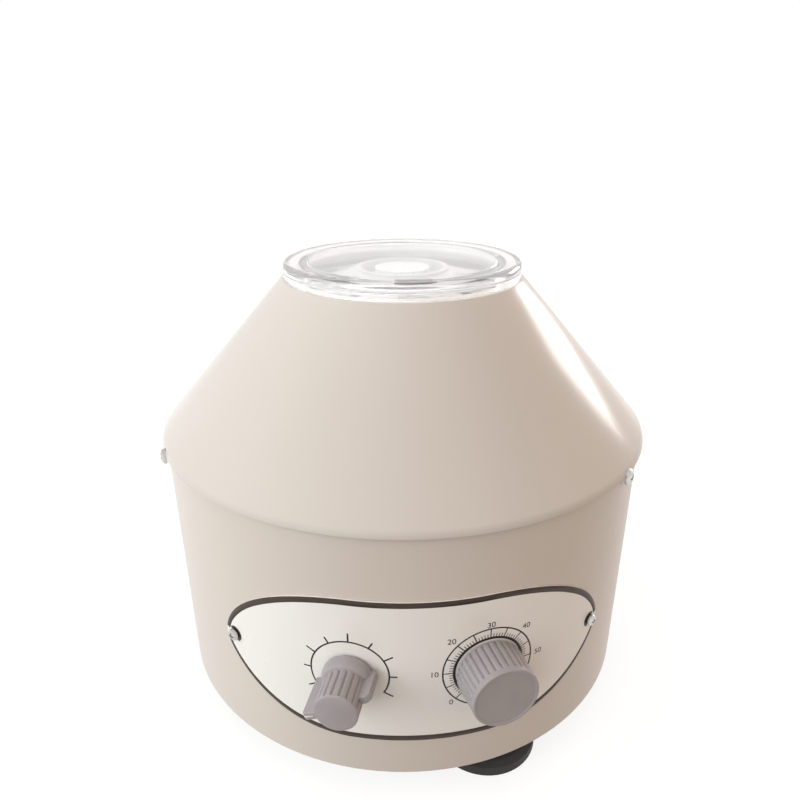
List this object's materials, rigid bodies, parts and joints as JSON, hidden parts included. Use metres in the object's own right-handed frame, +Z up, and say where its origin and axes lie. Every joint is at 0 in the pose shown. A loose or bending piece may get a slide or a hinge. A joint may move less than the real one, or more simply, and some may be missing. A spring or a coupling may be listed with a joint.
{
  "type": "benchtop centrifuge",
  "caption": "Drum-shaped benchtop centrifuge with a conical cover, lift-off clear lid, angle rotor on a motor, speed and timer dials, and rubber cup feet.",
  "frame": {"origin": "middle of the footprint's box on the bench; the rotor's axis stands a few millimetres behind it", "axes": "+Z up along the rotor's axis, -Y out through the front panel, +X to the right seen from the front"},
  "size_m": [0.2532, 0.2756, 0.2293],
  "materials": {
    "drum_paint": "warm beige stove enamel, satin",
    "cover_paint": "warm beige stove enamel, gloss",
    "base_steel": "grey primer",
    "screw_steel": "bright zinc",
    "spring_steel": "black oxide",
    "black_rubber": "matt moulded",
    "clear_plastic": "clear moulded acrylic",
    "bowl_metal": "spun",
    "rotor_metal": "turned and lacquered",
    "white_nylon": "moulded",
    "shaft_steel": "ground",
    "lamination": "varnished laminations",
    "copper": "enamelled copper wire and bars",
    "motor_casting": "die cast",
    "motor_sheet": "drawn steel can",
    "dark_plastic": "moulded",
    "label_sheet": "printed sheet",
    "knob_plastic": "grey moulding",
    "timer_shell": "moulded clockwork case",
    "board_green": "solder resist on laminate",
    "capacitor_sleeve": "shrunk sleeve",
    "terminal_green": "moulded",
    "contact_brass": "plated",
    "carbon": "pressed carbon"
  },
  "bodies": {
    "base": {"body_shell": "drum_paint", "base_plate": "base_steel", "base_screws": "screw_steel", "rubber_cups": "black_rubber", "cup_screws": "screw_steel", "cup_nuts": "screw_steel", "cone_cover": "cover_paint", "cover_screws": "screw_steel", "chamber_bowl": "bowl_metal", "shaft_grommet": "black_rubber", "motor_can": "motor_sheet", "field_core": "lamination", "field_coils": "copper", "motor_foot_bell": "motor_casting", "motor_head_bell": "motor_casting", "lower_bearing": "shaft_steel", "upper_bearing": "shaft_steel", "brush_holders": "dark_plastic", "carbon_brushes": "carbon", "brush_caps": "dark_plastic", "motor_bolts": "screw_steel", "motor_nuts": "screw_steel", "motor_carrier": "base_steel", "rubber_buffers": "black_rubber", "buffer_screws": "screw_steel", "label_plate": "label_sheet", "end_screws": "screw_steel", "end_washers": "spring_steel", "control_carrier": "dark_plastic", "speed_control": "dark_plastic", "speed_nut": "screw_steel", "timer_case": "timer_shell", "timer_nut": "screw_steel", "circuit_board": "board_green", "board_standoffs": "white_nylon", "heat_sink": "motor_casting", "smoothing_capacitor": "capacitor_sleeve", "terminal_block": "terminal_green", "inlet_housing": "dark_plastic", "inlet_blades": "contact_brass", "inlet_screws": "screw_steel", "fuse_holder": "dark_plastic", "fuse_cap": "dark_plastic"},
    "lid": {"clear_lid": "clear_plastic"},
    "rotor": {"rotor_hub": "rotor_metal", "rotor_top_plate": "rotor_metal", "rotor_tray": "rotor_metal", "tube_sleeves": "white_nylon", "rotor_nut": "rotor_metal", "motor_shaft": "shaft_steel", "armature_core": "lamination", "armature_winding": "copper", "commutator": "copper", "cooling_fan": "dark_plastic"},
    "speed_dial": {"speed_knob": "knob_plastic", "speed_spindle": "shaft_steel"},
    "timer_dial": {"timer_knob": "knob_plastic", "timer_spindle": "shaft_steel"}
  },
  "joints": [
    {"name": "lid_lift", "type": "slide", "parent": "base", "child": "lid", "axis": [0, 0, 1], "range_m": [0, 0.12]},
    {"name": "rotor_spin", "type": "hinge", "parent": "base", "child": "rotor", "pos_m": [0, 0.0074, 0.2], "axis": [0, 0, 1], "continuous": true},
    {"name": "speed_turn", "type": "hinge", "parent": "base", "child": "speed_dial", "pos_m": [-0.03039, -0.11385, 0.0734], "axis": [0.2431, 0.97, 0], "range_deg": [-12, 228]},
    {"name": "timer_turn", "type": "hinge", "parent": "base", "child": "timer_dial", "pos_m": [0.03039, -0.11385, 0.0734], "axis": [-0.2431, 0.97, 0], "range_deg": [0, 270], "stiffness_Nm_per_rad": 0.001}
  ]
}
